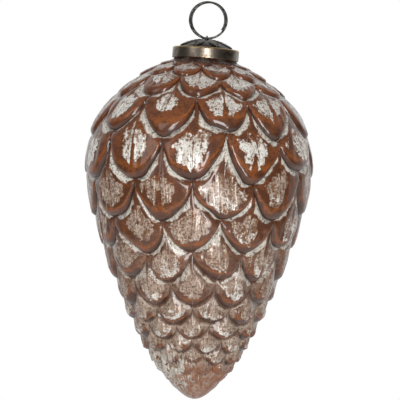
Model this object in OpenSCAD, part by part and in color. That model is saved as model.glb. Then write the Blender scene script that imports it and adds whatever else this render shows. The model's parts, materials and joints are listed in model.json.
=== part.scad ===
// Blown glass pine cone ornament with a pressed brass cap and a wire hanging ring.
// The tip points down. The origin is where a hook carries the ring, on its inner face at the top.

/* [Glass body] */
// Height of the glass from its tip to the foot of the neck
glass_h = 129.4; // [110:0.1:150]
// Largest width over the scales
body_d = 88.4; // [70:0.1:100]
// Height of the widest ring above the tip
widest_h = 88; // [75:0.5:95]
// How blunt the tip is: length of the level handle of the flank's curve
tip_blunt = 15; // [8:0.1:20]
// Length of the upright handle of the flank's curve
flank_handle = 18.1; // [12:0.1:30]
// Length of the upright handle of the shoulder's curve
shoulder_handle = 23.9; // [15:0.1:28]
// Width that the shoulder's curve aims at beside the neck
shoulder_d = 51.2; // [44:0.1:64]
// How far that point lies below the foot of the neck
shoulder_drop = 9; // [5:0.1:12]
// Thickness of the glass in the grooves between the scales
wall = 2; // [1.2:0.1:3]

/* [Scales] */
// Scales in one row
scale_count = 11; // [8:1:12]
// Angle from the front to the first row's nearest scale
lattice_turn = 13.5; // [0:0.5:32]
// How far the lip of a large scale stands out of its groove
relief = 2.4; // [0.5:0.1:3]
// Share of the relief that the inside of the glass follows
inner_follow = 0.5; // [0:0.05:0.7]
// Height above the tip where the relief has faded out
smooth_tip_h = 8; // [2:1:14]
// Height above the tip where the relief is full
full_relief_h = 36; // [24:1:50]

/* [Neck] */
// Outer width of the neck
neck_d = 23.6; // [18:0.1:26]
// Height of the neck above its foot
neck_h = 3.9; // [3:0.1:8]
// Lean of the hand-finished neck towards the right
neck_lean = 3.3; // [0:0.1:5]
// How far the foot of the neck lies to the right of the body's axis
neck_shift = 1.8; // [0:0.1:3]
// Height above the tip where the centre line starts to turn aside
lean_from = 108; // [90:1:115]

/* [Cap] */
// Thickness of the pressed sheet
sheet = 0.5; // [0.3:0.05:0.8]
// Clearance between the neck and the band
neck_clearance = 0.4; // [0.2:0.05:1]
// Gap between the mouth of the glass and the cap that sits on it
seat_gap = 0.1; // [0.05:0.05:0.3]
// Height of the band
band_h = 4.2; // [3.4:0.1:8]
// Radius of the band's upper edge
band_round = 0.6; // [0.2:0.05:0.8]
// Width of the crown where it rises from the ledge
crown_d = 21.6; // [14:0.1:22]
// Height of the crown above the ledge
crown_h = 3.2; // [1.5:0.1:5]
// Leaves embossed round the crown
leaf_count = 8; // [5:1:12]
// Radius of the ball that a leaf is pressed with
leaf_ball_r = 3.4; // [2:0.1:5]
// How far a leaf stands out of the crown
leaf_rise = 0.45; // [0.1:0.05:0.8]
// Distance of the leaves from the axis
leaf_at_r = 7; // [5:0.1:8]

/* [Ring and wire] */
// Thickness of the ring's wire
ring_wire_d = 0.8; // [0.5:0.05:1.2]
// Outer width of one turn of the ring
ring_d = 14.6; // [10:0.1:24]
// Gap between neighbouring turns
turn_gap = 0.05; // [0.02:0.01:0.2]
// Sideways offset between the first and the last turn
ring_offset = 1.1; // [0:0.05:1.4]
// Angle of the ring's first end, from the right-hand side
ring_start = -30; // [-60:1:0]
// Angle that the wire runs through from end to end
ring_sweep = 639; // [450:1:690]
// Height of the ring's wire above the crown
ring_gap = 0.35; // [0.3:0.05:1]
// Thickness of the hanger wire
eye_wire_d = 0.6; // [0.4:0.05:0.8]
// Running clearance round the ring's wire in the eye
eye_clearance = 0.05; // [0.03:0.01:0.1]
// Clearance round the hanger wire in the cap
leg_clearance = 0.05; // [0.03:0.01:0.15]
// Length of the clinched end of each leg, under the crown
clinch_len = 4; // [2:0.1:6]
// Radius of the bend between a leg and its clinched end
leg_bend_r = 0.5; // [0.4:0.05:0.8]
// Gap between a clinched end and the sheet above it
clinch_gap = 0.1; // [0.05:0.05:0.3]

/* [Hidden] */

// Tips of the rows of scales, as shares of the glass height, from the neck down
row_tips = [0.995, 0.97, 0.935, 0.88, 0.765, 0.645, 0.53, 0.44, 0.35,
            0.28, 0.227, 0.182, 0.143, 0.108, 0.077, 0.05, 0.025];
last_row = len(row_tips) - 1;
// Rows that the mesh follows edge by edge; past them the relief has nearly faded
first_full_row = 2;
last_full_row = 11;

// Lower edge of a scale: how far it climbs at the side, in row heights, and how it curves
edge_climb = 0.9;
edge_power = 1.7;
edge_bulge = 0.6;
// Width of the rounded lip and of the groove above a scale's stem, in row heights
lip_w = 0.13;
groove_w = 0.16;
// How far a scale sinks from its lip to its stem, and from its middle to its sides
stem_sink = 0.7;
side_sink = 0.35;
// How the relief follows the size of the body
relief_power = 0.6;
// Relief fades out over this height below the neck
shoulder_fade = 4;
// Columns of the mesh between the middle and the side of a scale, as shares of that distance
column_shares = [0, 0.2, 0.5, 0.8];
// Plain rings of the mesh near the tip, as shares of the glass height
tip_shares = [0.115, 0.085, 0.06, 0.035, 0.016, 0.005];
inner_tip_shares = [0.11, 0.07, 0.04, 0.015];
// A wire is drawn a little thinner in a tight bend, which runs on inside its straight lengths
bend_thinning = 0.96;
bend_overlap = 0.08;

scale_step = 360 / scale_count;
half_columns = len(column_shares);
columns = 2 * half_columns * scale_count;
inner_columns = columns / 2;
base_r = body_d / 2 - relief;
neck_r = neck_d / 2;
flank = [[0, 0], [tip_blunt, 0], [base_r, widest_h - flank_handle], [base_r, widest_h]];
shoulder = [[base_r, widest_h], [base_r, widest_h + shoulder_handle],
            [shoulder_d / 2, glass_h - shoulder_drop], [neck_r, glass_h]];
mouth_h = glass_h + neck_h;

band_in_r = neck_r + neck_clearance;
band_r = band_in_r + sheet;
// Heights on the cap are measured from the foot of the neck
ledge_h = neck_h + seat_gap + sheet;
band_low = ledge_h - band_h;
crown_top = ledge_h + crown_h;
crown_r = crown_d / 2;
crown_ball_r = (crown_r * crown_r + crown_h * crown_h) / (2 * crown_h);

ring_mid_r = (ring_d - ring_wire_d) / 2;
pivot_h = crown_top + ring_gap + ring_wire_d / 2;
ring_h = pivot_h + ring_mid_r;
eye_wire_r = eye_wire_d / 2;
eye_r = ring_wire_d / 2 + eye_clearance + eye_wire_r;
hook_r = ring_mid_r - ring_wire_d / 2;

function clamp01(x) = min(1, max(0, x));
function smooth(x) = let (c = clamp01(x)) c * c * (3 - 2 * c);

// Point and direction of a cubic curve
function curve(p, t) = pow(1 - t, 3) * p[0] + 3 * t * pow(1 - t, 2) * p[1]
    + 3 * t * t * (1 - t) * p[2] + pow(t, 3) * p[3];
function curve_dir(p, t) = pow(1 - t, 2) * (p[1] - p[0]) + 2 * t * (1 - t) * (p[2] - p[1])
    + t * t * (p[3] - p[2]);
function curve_at(p, h, low = 0, high = 1, n = 20) = let (mid = (low + high) / 2)
    n == 0 ? mid : curve(p, mid)[1] < h ? curve_at(p, h, mid, high, n - 1)
    : curve_at(p, h, low, mid, n - 1);

// Radius, height and outward direction of the smooth glass at a height
function skin(p, h) = let (t = curve_at(p, h), c = curve(p, t), d = curve_dir(p, t))
    [c[0], c[1], d[1] / norm(d), -d[0] / norm(d)];
function glass_skin(h) = h <= widest_h ? skin(flank, h)
    : h < glass_h ? skin(shoulder, h) : [neck_r, h, 1, 0];

// Row number at a height and height at a row number, which grows from the neck to the tip
row_of_h = [for (i = [last_row:-1:0]) [row_tips[i] * glass_h, i]];
h_of_row = [for (i = [0:last_row]) [i, row_tips[i] * glass_h]];
function row_at(h) = lookup(h, row_of_h);

// Distance to the nearest scale's middle in row i, in half spaces
function side_of(angle, i) = let (
    from = (angle - lattice_turn - (i % 2) * scale_step / 2) / scale_step,
    off = from - round(from)) abs(off) * 2;

// Row number of row i's lower edge at an angle
function edge_at(angle, i) = let (a = side_of(angle, i))
    i - edge_climb * (1 - pow(max(0, 1 - pow(a, edge_power)), edge_bulge));

// Rise from a groove, steep at first
function rise(x) = 1 - pow(1 - clamp01(x), 2);

// Relief of the glass at an angle and a row number, from 0 in a groove to 1 at a lip
function scale_height(angle, u) = let (
    near = ceil(u),
    i = u <= edge_at(angle, near) ? near : near + 1,
    a = side_of(angle, i),
    below = edge_at(angle, i) - u,
    above = u - edge_at(angle, i - 1))
    rise(below / lip_w) * rise(above / groove_w)
    * (1 - stem_sink * below / 2) * (1 - side_sink * a * a);

function relief_at(angle, h) = let (r = glass_skin(h)[0])
    relief * pow(r / base_r, relief_power)
    * smooth((h - smooth_tip_h) / (full_relief_h - smooth_tip_h))
    * smooth((glass_h - h) / shoulder_fade)
    * scale_height(angle, row_at(h));

// A point at a distance from the centre line and at a height. The line turns aside below the neck
// and runs straight on above its foot.
function on_axis(r, angle, h) = let (
    ease = smooth((h - lean_from) / (glass_h - lean_from)),
    lean = neck_lean * ease,
    over = max(0, h - glass_h),
    across = r * sin(angle))
    [neck_shift * ease + over * sin(lean) + across * cos(lean), -r * cos(angle),
     min(h, glass_h) + over * cos(lean) - across * sin(lean)];

function glass_point(angle, h, depth, share) = let (s = glass_skin(h),
    out = share * relief_at(angle, h) - depth)
    on_axis(max(0, s[0] + out * s[2]), angle, s[1] + out * s[3]);

// Angles of the mesh's columns, which pass through the middle and the sides of each scale
column_angles = [for (j = [0:columns - 1]) lattice_turn + scale_step / 2
    * (floor(j / half_columns) + column_shares[j % half_columns])];

// Row number on a mesh ring that follows the scales, between the edges of rows i - 1 and i
function ring_row(angle, i, part) = let (
    low = edge_at(angle, i),
    gap = low - edge_at(angle, i - 1))
    part == "edge" ? low
    : part == "lip" ? low - min(lip_w, 0.3 * gap)
    : part == "face" ? low - 0.55 * gap
    : low - gap + min(groove_w, 0.3 * gap);

// Mesh rings from the mouth to the tip: plain ones as [height], the others as [row, part]
outer_rings = concat([[mouth_h], [glass_h], [glass_h - 0.6], [1, "lip"], [1, "edge"]],
    [for (i = [first_full_row:last_full_row]) for (part = ["stem", "face", "lip", "edge"]) [i, part]],
    [[last_full_row + 1, "face"], [last_full_row + 1, "edge"]],
    [for (s = tip_shares) [s * glass_h]]);
inner_rings = concat([[mouth_h], [glass_h], [glass_h - 1.5], [1, "edge"], [2, "face"]],
    [for (i = [first_full_row + 1:last_full_row - 2]) for (part = ["face", "edge"]) [i, part]],
    [for (i = [last_full_row - 1:last_full_row]) [i, "face"]],
    [for (s = inner_tip_shares) [s * glass_h]]);
function ring_height(ring, angle) = len(ring) == 1 ? ring[0]
    : lookup(ring_row(angle, ring[0], ring[1]), h_of_row);

hook_point = on_axis(0, 0, glass_h + ring_h) + [0, 0, hook_r];

// One blown shell: relief outside, a softer relief inside, joined at the mouth
module glass_body() {
    outer = [for (ring = outer_rings) for (j = [0:columns - 1])
        glass_point(column_angles[j], ring_height(ring, column_angles[j]), 0, 1)];
    inner = [for (ring = inner_rings) for (j = [0:2:columns - 1])
        glass_point(column_angles[j], ring_height(ring, column_angles[j]), wall, inner_follow)];
    outer_tip = len(outer);
    first_in = outer_tip + 1;
    inner_tip = first_in + len(inner);
    points = concat(outer, [on_axis(0, 0, 0)], inner, [on_axis(0, 0, wall)]);
    last_out = len(outer_rings) - 1;
    last_in = len(inner_rings) - 1;
    function o(i, j) = i * columns + j % columns;
    function n(i, j) = first_in + i * inner_columns + j % inner_columns;
    faces = concat(
        [for (i = [0:last_out - 1]) for (j = [0:columns - 1])
            each [[o(i, j), o(i, j + 1), o(i + 1, j + 1)], [o(i, j), o(i + 1, j + 1), o(i + 1, j)]]],
        [for (j = [0:columns - 1]) [o(last_out, j), o(last_out, j + 1), outer_tip]],
        [for (i = [0:last_in - 1]) for (j = [0:inner_columns - 1])
            each [[n(i, j), n(i + 1, j), n(i + 1, j + 1)], [n(i, j), n(i + 1, j + 1), n(i, j + 1)]]],
        [for (j = [0:inner_columns - 1]) [n(last_in, j), inner_tip, n(last_in, j + 1)]],
        [for (j = [0:inner_columns - 1])
            each [[o(0, 2 * j + 1), o(0, 2 * j), n(0, j)],
                  [o(0, 2 * j + 2), o(0, 2 * j + 1), n(0, j + 1)],
                  [o(0, 2 * j + 1), n(0, j), n(0, j + 1)]]]);
    color([0.62, 0.4, 0.28])
        translate(-hook_point)
            polyhedron(points, faces, convexity = 10);
}

// Carries its children from the foot of the straight neck to their place
module on_neck() {
    translate(on_axis(0, 0, glass_h) - hook_point)
        rotate([0, neck_lean, 0])
            children();
}

// Pressed cap: band, rounded upper edge, ledge and domed crown with leaves
module cap() {
    ball_h = crown_top - crown_ball_r;
    color([0.36, 0.31, 0.24])
        on_neck()
            difference() {
                union() {
                    difference() {
                        rotate_extrude($fn = 96)
                            band_section();
                        translate([0, 0, band_low - 1])
                            cylinder(r = band_in_r, h = ledge_h - sheet - band_low + 1, $fn = 96);
                    }
                    intersection() {
                        translate([0, 0, ledge_h - sheet])
                            cylinder(r = crown_r, h = crown_h + 2 * sheet, $fn = 96);
                        translate([0, 0, ball_h])
                            difference() {
                                sphere(r = crown_ball_r, $fn = 96);
                                sphere(r = crown_ball_r - sheet, $fn = 96);
                            }
                    }
                    difference() {
                        for (k = [0:leaf_count - 1])
                            rotate([0, 0, (k + 0.5) * 360 / leaf_count])
                                translate([0, 0, ball_h])
                                    rotate([0, asin(leaf_at_r / crown_ball_r), 0])
                                        translate([0, 0, crown_ball_r + leaf_rise - leaf_ball_r])
                                            sphere(r = leaf_ball_r, $fn = 48);
                        translate([0, 0, ball_h])
                            sphere(r = crown_ball_r - sheet / 2, $fn = 96);
                    }
                }
                for (side = [-1, 1])
                    translate([0, side * eye_r, ledge_h])
                        cylinder(r = eye_wire_r + leg_clearance, h = crown_h + 1, $fn = 32);
            }
}

// Block with a rounded upper edge, which the space for the neck is cut out of
module band_section() {
    in_r = crown_r - sheet;
    translate([in_r, band_low])
        square([band_r - in_r, band_h - band_round]);
    translate([in_r, band_low])
        square([band_r - band_round - in_r, band_h]);
    translate([band_r - band_round, ledge_h - band_round])
        circle(r = band_round, $fn = 48);
}

// Underside of the crown at a distance from the axis
function under_crown(r) = crown_top - crown_ball_r + sqrt(pow(crown_ball_r - sheet, 2) - r * r);

// Bent wire: an eye over the ring's wire and two legs clinched under the crown
module hanger_wire() {
    color([0.2, 0.2, 0.19])
        on_neck() {
            translate([0, 0, pivot_h])
                rotate([0, 90, 0])
                    wire_bend(eye_r, 90, 180, eye_wire_r);
            for (turn = [0, 180])
                rotate([0, 0, turn])
                    clinched_leg();
        }
}

// Arc of wire in the XY plane
module wire_bend(r, from, sweep, wire_r) {
    rotate([0, 0, from])
        rotate_extrude(angle = sweep, $fn = 64)
            translate([r, 0])
                circle(r = wire_r, $fn = 24);
}

// One leg on the +Y side: down through the crown, then bent out along its underside
module clinched_leg() {
    near_r = eye_r + leg_bend_r;
    far_r = near_r + clinch_len;
    slope = atan2(under_crown(near_r) - under_crown(far_r), clinch_len);
    sink = (clinch_gap + eye_wire_r) / cos(asin(far_r / crown_ball_r));
    // Where the bend ends and the straight clinched length begins
    bend_end = [0, near_r - leg_bend_r * sin(slope),
        under_crown(near_r) - sink + leg_bend_r * sin(slope) * tan(slope)];
    bend_h = bend_end[2] + leg_bend_r * cos(slope);
    translate([0, eye_r, bend_h - bend_overlap])
        cylinder(r = eye_wire_r, h = pivot_h - bend_h + bend_overlap, $fn = 24);
    translate([0, near_r, bend_h])
        rotate([0, 90, 0])
            wire_bend(leg_bend_r, -90, 90 - slope, eye_wire_r * bend_thinning);
    translate(bend_end)
        rotate([-90 - slope, 0, 0])
            translate([0, 0, -bend_overlap])
                cylinder(r = eye_wire_r, h = clinch_len, $fn = 24);
}

// Wire wound into a ring of nearly two turns that lie beside each other
module split_ring() {
    sides = 12;
    steps = ceil(ring_sweep / 9);
    pitch = ring_wire_d + turn_gap;
    wire_r = ring_wire_d / 2;
    // Share of the wire's length at which it passes through the eye
    eye_part = (270 - ring_start) / ring_sweep;
    points = [for (k = [0:steps]) for (m = [0:sides - 1]) let (
        part = k / steps,
        turn = ring_start + part * ring_sweep,
        round_wire = m * 360 / sides,
        out = ring_mid_r + wire_r * cos(round_wire),
        along = (part - eye_part) * ring_sweep / 360)
        [out * cos(turn) + (part - eye_part) * ring_offset,
         along * pitch + wire_r * sin(round_wire), out * sin(turn)]];
    function p(k, m) = k * sides + m % sides;
    faces = concat([[for (m = [0:sides - 1]) m]], [[for (m = [sides - 1:-1:0]) p(steps, m)]],
        [for (k = [0:steps - 1]) for (m = [0:sides - 1])
            each [[p(k + 1, m), p(k + 1, m + 1), p(k, m + 1)], [p(k + 1, m), p(k, m + 1), p(k, m)]]]);
    color([0.22, 0.23, 0.23])
        on_neck()
            translate([0, 0, ring_h])
                polyhedron(points, faces, convexity = 6);
}

glass_body();
cap();
hanger_wire();
split_ring();
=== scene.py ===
# Blown glass pine cone ornament: painted glass, aged brass cap, wire eye and split ring.
# Metres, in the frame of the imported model: a hook carries the ring at the origin.
import json
import math
from functools import partialmethod, reduce
from types import SimpleNamespace
import bpy
import numpy as np
from mathutils import Matrix, Vector

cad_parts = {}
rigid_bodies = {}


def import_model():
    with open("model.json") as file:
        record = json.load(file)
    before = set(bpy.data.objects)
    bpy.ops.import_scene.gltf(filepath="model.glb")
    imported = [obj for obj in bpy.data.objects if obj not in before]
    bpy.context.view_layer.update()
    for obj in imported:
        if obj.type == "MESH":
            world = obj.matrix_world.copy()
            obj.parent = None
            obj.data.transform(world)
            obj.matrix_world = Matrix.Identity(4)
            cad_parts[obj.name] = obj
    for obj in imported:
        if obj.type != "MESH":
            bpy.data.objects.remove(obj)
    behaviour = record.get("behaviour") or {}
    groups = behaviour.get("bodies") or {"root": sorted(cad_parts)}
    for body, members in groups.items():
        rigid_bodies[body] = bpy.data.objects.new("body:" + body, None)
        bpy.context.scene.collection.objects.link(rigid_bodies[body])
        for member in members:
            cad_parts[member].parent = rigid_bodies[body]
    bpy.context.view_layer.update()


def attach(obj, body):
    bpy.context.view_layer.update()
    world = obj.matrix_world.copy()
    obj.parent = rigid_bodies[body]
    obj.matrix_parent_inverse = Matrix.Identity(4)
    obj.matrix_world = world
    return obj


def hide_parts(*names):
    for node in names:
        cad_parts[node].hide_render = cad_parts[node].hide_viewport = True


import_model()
mm = 0.001
fullTurn = 2 * math.pi
white = (1, 1, 1, 1)
scene = bpy.context.scene
scene.view_settings.view_transform = "Standard"

# What several pieces share. Heights on the cap and the ring start at the foot of the neck.
ornament = {
    "glassHeight": 129.4 * mm,       # from the tip to the foot of the neck
    "neckHeight": 3.9 * mm,
    "neckRadius": 11.8 * mm,
    "neckLean": math.radians(3.3),   # hand-finished neck leans to the right
    "neckShift": 1.8 * mm,           # and stands beside the body's axis
    "leanFrom": 108 * mm,            # where the centre line starts to turn aside
    "ledgeHeight": 4.5 * mm,
    "crownHeight": 3.2 * mm,
    "sheet": 0.5 * mm,
    "ringWire": 0.8 * mm,
    "ringMiddle": 6.9 * mm,          # radius of the middle of the ring's wire
    "ringGap": 0.35 * mm,
}
crownTop = ornament["ledgeHeight"] + ornament["crownHeight"]
pivotHeight = crownTop + ornament["ringGap"] + ornament["ringWire"] / 2
ringHeight = pivotHeight + ornament["ringMiddle"]
hookRadius = ornament["ringMiddle"] - ornament["ringWire"] / 2
neckFoot = Vector((ornament["neckShift"], 0, ornament["glassHeight"]))
neckTurn = Matrix.Rotation(ornament["neckLean"], 4, "Y")
hookPoint = neckFoot + neckTurn @ Vector((0, 0, ringHeight)) + Vector((0, 0, hookRadius))
neckPlace = Matrix.Translation(neckFoot - hookPoint) @ neckTurn


# sRGB 0-255 as it shows in the photograph, to a linear colour
def paint(red, green, blue):
    linear = [c / 255 / 12.92 if c <= 10 else ((c / 255 + 0.055) / 1.055) ** 2.4
              for c in (red, green, blue)]
    return (*linear, 1)


def linkObject(name, data):
    made = bpy.data.objects.new(name, data)
    scene.collection.objects.link(made)
    return made


# Adds nodes to one tree. Any input takes a value or a socket.
class Bench:
    def __init__(self, tree):
        self.tree = tree

    def put(self, socket, value):
        if isinstance(value, bpy.types.NodeSocket):
            self.tree.links.new(value, socket)
        elif value is not None:
            socket.default_value = value

    def add(self, kind, inputs=None, **settings):
        node = self.tree.nodes.new(kind)
        for name, value in settings.items():
            setattr(node, name, value)
        for key, value in (inputs or {}).items():
            self.put(node.inputs[key], value)
        return node

    def group(self, tree, inputs):
        return self.add("ShaderNodeGroup", inputs, node_tree=tree).outputs

    # Links the shader to the end of its material or world
    def finish(self, shader, kind="ShaderNodeOutputMaterial"):
        self.add(kind, {"Surface": shader.outputs[0]})

    def math(self, operation, first, second=None):
        return self.add("ShaderNodeMath", {0: first, 1: second}, operation=operation).outputs[0]

    def plus(self, *parts):
        return reduce(lambda total, part: self.math("ADD", total, part), parts)

    def times(self, *parts):
        return reduce(lambda total, part: self.math("MULTIPLY", total, part), parts)

    minus = partialmethod(math, "SUBTRACT")
    divide = partialmethod(math, "DIVIDE")
    power = partialmethod(math, "POWER")
    most = partialmethod(math, "MAXIMUM")
    least = partialmethod(math, "MINIMUM")
    beyond = partialmethod(math, "GREATER_THAN")
    absolute = partialmethod(math, "ABSOLUTE")
    sine = partialmethod(math, "SINE")
    cosine = partialmethod(math, "COSINE")

    # to[0] below low and to[1] above high, with soft ends for step and straight for scale
    def mapRange(self, way, value, low, high, to=(0, 1)):
        return self.add("ShaderNodeMapRange", dict(enumerate((value, low, high, *to))),
                        interpolation_type=way).outputs[0]

    step = partialmethod(mapRange, "SMOOTHSTEP")
    scale = partialmethod(mapRange, "LINEAR")

    def mix(self, factor, first, second):
        return self.add("ShaderNodeMix", {0: factor, 2: first, 3: second}).outputs[0]

    def blend(self, factor, first, second):
        return self.add("ShaderNodeMix", {0: factor, 6: first, 7: second}, data_type="RGBA").outputs[2]

    def vector(self, x=0.0, y=0.0, z=0.0):
        return self.add("ShaderNodeCombineXYZ", {0: x, 1: y, 2: z}).outputs[0]

    # Places on a tube, so that a pattern closes on itself
    def aroundTube(self, angle, radius, height):
        across, along = self.sine(angle), self.cosine(angle)
        return self.vector(self.times(across, radius), self.times(along, radius), height)

    def split(self, vector):
        return self.add("ShaderNodeSeparateXYZ", {0: vector}).outputs

    def noise(self, vector, size, detail=3.0, rough=0.55, seed=0.0, twist=0.0):
        return self.add("ShaderNodeTexNoise",
                        {"Vector": vector, "W": seed, "Scale": size, "Detail": detail,
                         "Roughness": rough, "Distortion": twist}, noise_dimensions="4D").outputs[0]

    # The same noise, as much below 0 as above it
    def evenNoise(self, *values):
        return self.minus(self.noise(*values), 0.5)


# New tree with named inputs; returns its bench, its input sockets and what to link the ends to
def openTree(name, kind, inputs, outputs):
    tree = bpy.data.node_groups.new(name, kind)
    for label, socketKind, value in inputs:
        socket = tree.interface.new_socket(name=label, in_out="INPUT", socket_type="NodeSocket" + socketKind)
        if value is not None:
            socket.default_value = value
    for label, socketKind in outputs:
        tree.interface.new_socket(name=label, in_out="OUTPUT", socket_type="NodeSocket" + socketKind)
    bench = Bench(tree)
    ends = bench.add("NodeGroupOutput").inputs
    return bench, bench.add("NodeGroupInput").outputs, ends


# Ends a geometry tree with real geometry and its material
def dress(b, ends, geometry, material):
    solid = b.add("GeometryNodeRealizeInstances", {0: geometry})
    dressed = b.add("GeometryNodeSetMaterial", {"Geometry": solid.outputs[0], "Material": material})
    b.put(ends[0], dressed.outputs[0])
    return b.tree


def newMaterial(name):
    material = bpy.data.materials.new(name)
    material.use_nodes = True
    material.node_tree.nodes.clear()
    return material, Bench(material.node_tree)


# Runs a Geometry Nodes tree on an object and leaves its result as a plain mesh
def growMesh(name, carrier, tree, values):
    modifier = carrier.modifiers.new(tree.name, "NODES")
    modifier.node_group = tree
    for item in tree.interface.items_tree:
        if item.in_out == "INPUT" and item.name in values:
            modifier[item.identifier] = values[item.name]
    bpy.context.view_layer.update()
    graph = bpy.context.evaluated_depsgraph_get()
    mesh = bpy.data.meshes.new_from_object(carrier.evaluated_get(graph), depsgraph=graph)
    mesh.name = name
    source = carrier.data
    bpy.data.objects.remove(carrier)
    if isinstance(source, bpy.types.Curve):
        bpy.data.curves.remove(source)
    return linkObject(name, mesh)


# Camera, light and floor
studio = {
    "cameraAway": 0.95,
    "lens": 223.8,
    "target": (-1.93 * mm, -75.2 * mm),   # x and z that the photograph's centre looks at
    "roll": math.radians(1.03),           # the ornament's top leans right in the photograph
    "lampAim": (0, 0, -0.075),
    "lamps": {                            # place, width and height, power
        "keySoftbox": ((0.08, -1.3, -0.06), (0.34, 0.8), 11.0),
        "lowSoftbox": ((0.26, -0.95, -0.46), (0.22, 0.3), 2.2),
        "sideSoftbox": ((-0.9, -0.9, 0.4), (0.5, 1.0), 3.0),
    },
    "backdropWhite": 1.0,
    "roomLight": 0.45,
    "mirrorRoom": 0.07,                   # what gloss shows of the room, the backdrop and the ceiling
    "mirrorBackdrop": 0.85,
    "mirrorCeiling": 0.3,
    "floorHeight": -0.24,
    "floorHalf": 0.42,
    "floorFront": -0.3,
    "floorColour": (0.85, 0.85, 0.85, 1),
    "floorGlow": 0.35,                    # for the camera and in gloss
    "floorWhite": 0.13,                   # for the camera alone
}


def placeCamera(look):
    camera = linkObject("camera", bpy.data.cameras.new("camera"))
    camera.data.lens = look["lens"]
    across, height = look["target"]
    camera.matrix_world = (Matrix.Translation((across, -look["cameraAway"], height))
                           @ Matrix.Rotation(math.pi / 2, 4, "X") @ Matrix.Rotation(look["roll"], 4, "Z"))
    scene.camera = camera


def placeLamps(look):
    for name, (place, size, power) in look["lamps"].items():
        lamp = bpy.data.lights.new(name, "AREA")
        lamp.shape = "RECTANGLE"
        lamp.size, lamp.size_y = size
        lamp.energy = power
        made = linkObject(name, lamp)
        made.location = place
        away = Vector(look["lampAim"]) - Vector(place)
        made.rotation_euler = away.to_track_quat("-Z", "Y").to_euler()


def seenInGloss(b, rays):
    return b.most(rays["Is Glossy Ray"], rays["Is Transmission Ray"])


# The room is dim in front and at the sides; the pale backdrop stands behind the ornament
def lightRoom(look):
    world = bpy.data.worlds.new("studio")
    scene.world = world
    world.use_nodes = True
    world.node_tree.nodes.clear()
    b = Bench(world.node_tree)
    rays = b.add("ShaderNodeLightPath").outputs
    direction = b.split(b.add("ShaderNodeTexCoord").outputs["Generated"])
    behind = b.mix(b.step(direction[1], 0.1, 0.75), look["mirrorRoom"], look["mirrorBackdrop"])
    above = b.mix(b.step(direction[2], -0.2, 0.9), look["mirrorRoom"], look["mirrorCeiling"])
    room = b.mix(seenInGloss(b, rays), look["roomLight"], b.most(behind, above))
    strength = b.mix(rays["Is Camera Ray"], room, look["backdropWhite"])
    b.finish(b.add("ShaderNodeBackground", {"Color": white, "Strength": strength}), "ShaderNodeOutputWorld")


def layFloor(look):
    half = look["floorHalf"]
    front = look["floorFront"]
    corners = ((-half, front), (half, front), (half, half), (-half, half))
    mesh = bpy.data.meshes.new("floor")
    mesh.from_pydata([(x, y, look["floorHeight"]) for x, y in corners], [], [(0, 1, 2, 3)])
    floor = linkObject("floor", mesh)
    material, b = newMaterial("paleFloor")
    rays = b.add("ShaderNodeLightPath").outputs
    seen = b.most(rays["Is Camera Ray"], seenInGloss(b, rays))
    glow = b.plus(b.times(seen, look["floorGlow"]), b.times(rays["Is Camera Ray"], look["floorWhite"]))
    matt = b.add("ShaderNodeBsdfDiffuse", {"Color": look["floorColour"]})
    lift = b.add("ShaderNodeEmission", {"Color": white, "Strength": glow})
    b.finish(b.add("ShaderNodeAddShader", {0: matt.outputs[0], 1: lift.outputs[0]}))
    mesh.materials.append(material)


placeCamera(studio)
placeLamps(studio)
lightRoom(studio)
layFloor(studio)
print("studio ready")

# Glass body
glass = {
    "bodyRadius": 41.65 * mm,        # in the grooves, at the widest ring
    "widestHeight": 88 * mm,
    "tipHandle": 15 * mm,            # handles of the outline's curve
    "flankHandle": 18.1 * mm,
    "shoulderHandle": 23.9 * mm,
    "shoulderAim": (25.6 * mm, 120.4 * mm),
    "neckHandle": 1.3 * mm,
    "wall": 2 * mm,
    "scaleCount": 11,
    "latticeTurn": math.radians(13.5),
    "rowTips": [0.995, 0.97, 0.935, 0.88, 0.765, 0.645, 0.53, 0.44, 0.35,   # shares of the height
                0.28, 0.227, 0.182, 0.143, 0.108, 0.077, 0.05, 0.025],
    "rowHeight": 1.25,               # in half widths of a scale
    "relief": 2.4 * mm,
    "columnsPerScale": 30,
    "ringsPerRow": 14,
    "ringGather": 0.8,               # how far the rings gather at the lips and in the grooves
    "innerRings": 22,
    "edgeClimb": 0.9,                # how a scale's lower edge rises to its sides
    "edgePower": 1.7,
    "edgeBulge": 0.6,
    "lipWidth": 0.13,                # in row heights
    "grooveWidth": 0.16,
    "stemSink": 0.95,
    "sideSink": 0.35,
    "knobRows": (5.2, 10.0),         # rows over which the scales turn to knobs
    "knobLip": 2.4,                  # how much rounder the knobs' lips, sides and grooves are
    "knobSide": 1.3,
    "knobGroove": 4.0,
    "knobRise": 0.65,
    "knobSink": 0.3,
    "fluteDepth": 1.8 * mm,
    "fluteRadius": 19,               # a larger tube of noise gives finer flutes
    "wobble": 0.5 * mm,              # hand-blown unevenness
    "lumpRows": (9.5, 13.0),         # rows where lumps join in
    "lumpSize": 4.0,
    "tipFade": (1 * mm, 16 * mm),    # heights over which the relief fades at the tip
    "neckFade": 4 * mm,
    "drift": 0.2,                    # how far a scale strays from the regular pattern
    "seed": 4,
}

# Keys that are inputs of the glass tree, and of the paint's layout
glassKeys = ("scaleCount", "columnsPerScale", "ringsPerRow", "innerRings", "latticeTurn", "relief", "wall",
             "edgeClimb", "edgePower", "edgeBulge", "lipWidth", "grooveWidth", "stemSink", "sideSink",
             "fluteDepth", "wobble", "drift", "seed")
layoutKeys = ("rowHeight", "edgeClimb", "edgePower", "edgeBulge")


# "scaleCount" becomes the input "Scale Count"
def inputName(key):
    return "".join(" " + letter if letter.isupper() else letter for letter in key).title()


def inputRows(shape, keys):
    return [(inputName(key), "Int" if isinstance(shape[key], int) else "Float", shape[key]) for key in keys]


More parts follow.
